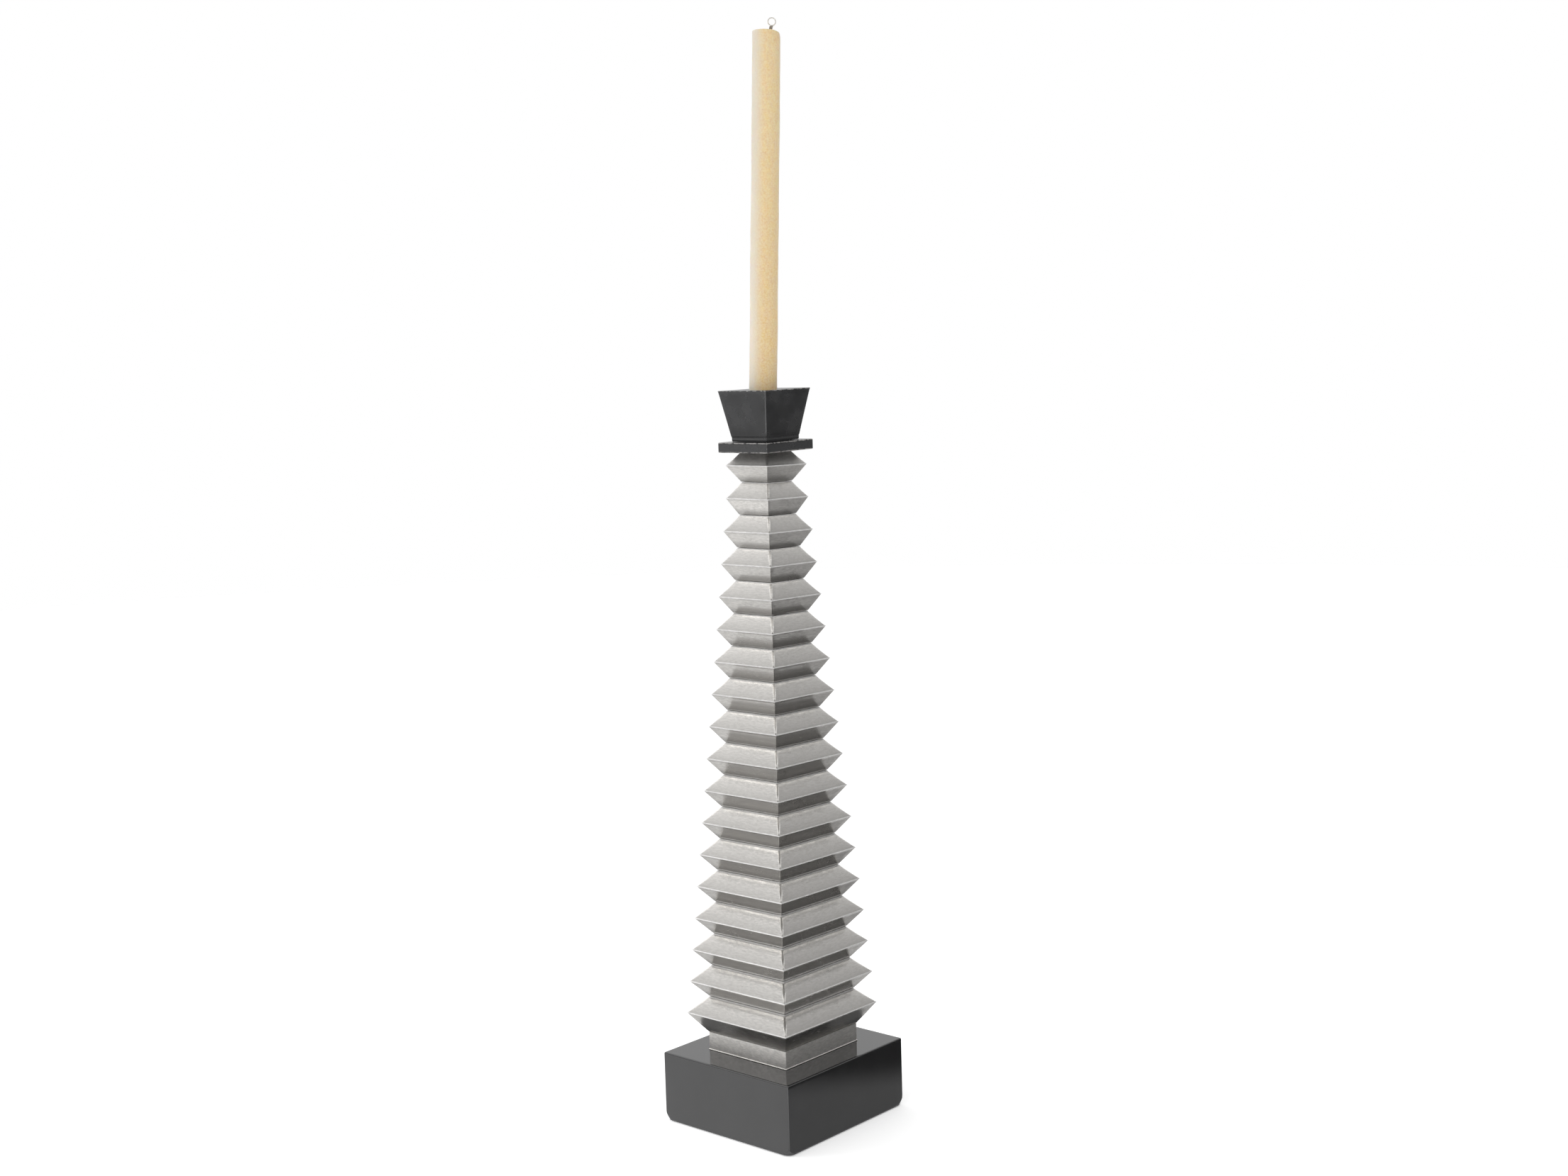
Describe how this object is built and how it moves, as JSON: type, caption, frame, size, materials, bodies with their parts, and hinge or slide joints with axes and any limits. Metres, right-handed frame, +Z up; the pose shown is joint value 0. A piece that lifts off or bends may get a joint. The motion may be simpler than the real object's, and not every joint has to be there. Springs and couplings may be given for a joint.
{
  "type": "candlestick",
  "caption": "Tall square candlestick: black block base, silver column of stacked ridged tiers that taper upwards, black drip plate and flared cup holding a tall taper candle.",
  "frame": {"origin": "middle of the underside, where the felt pad meets the table", "axes": "+Z up along the column; X and Y square to the faces of the base"},
  "size_m": [0.137, 0.137, 0.8758],
  "materials": {
    "silver": "satin silver-coloured cast metal, brushed along each slope, polished on its ridges",
    "black_gloss": "black lacquer, semi-gloss, a little worn on its edges",
    "steel": "plain zinc-coated steel",
    "black_plate": "matt black sheet steel",
    "cast_iron": "rough casting",
    "felt": "black wool felt",
    "beeswax": "dipped beeswax, faintly translucent, mottled",
    "cotton": "braided cotton stiffened with wax"
  },
  "bodies": {
    "stand": {"ballast": "cast_iron", "base_block": "black_gloss", "base_cover": "black_plate", "candle_cup": "black_gloss", "cover_screw_1": "steel", "cover_screw_2": "steel", "cover_screw_3": "steel", "cover_screw_4": "steel", "drip_plate": "black_gloss", "felt_pad": "felt", "foot_collar": "silver", "lower_nut": "steel", "lower_washer": "steel", "socket_liner": "steel", "tie_rod": "steel", "tier_01": "silver", "tier_02": "silver", "tier_03": "silver", "tier_04": "silver", "tier_05": "silver", "tier_06": "silver", "tier_07": "silver", "tier_08": "silver", "tier_09": "silver", "tier_10": "silver", "tier_11": "silver", "tier_12": "silver", "tier_13": "silver", "tier_14": "silver", "tier_15": "silver", "tier_16": "silver", "tier_17": "silver", "tier_18": "silver", "upper_nut": "steel", "upper_washer": "steel"},
    "candle": {"candle": "beeswax", "wick": "cotton"}
  },
  "joints": [
    {"name": "candle_lift", "type": "slide", "parent": "stand", "child": "candle", "axis": [0.0271, 0.0271, 0.9993], "range_m": [0, 0.05]}
  ]
}
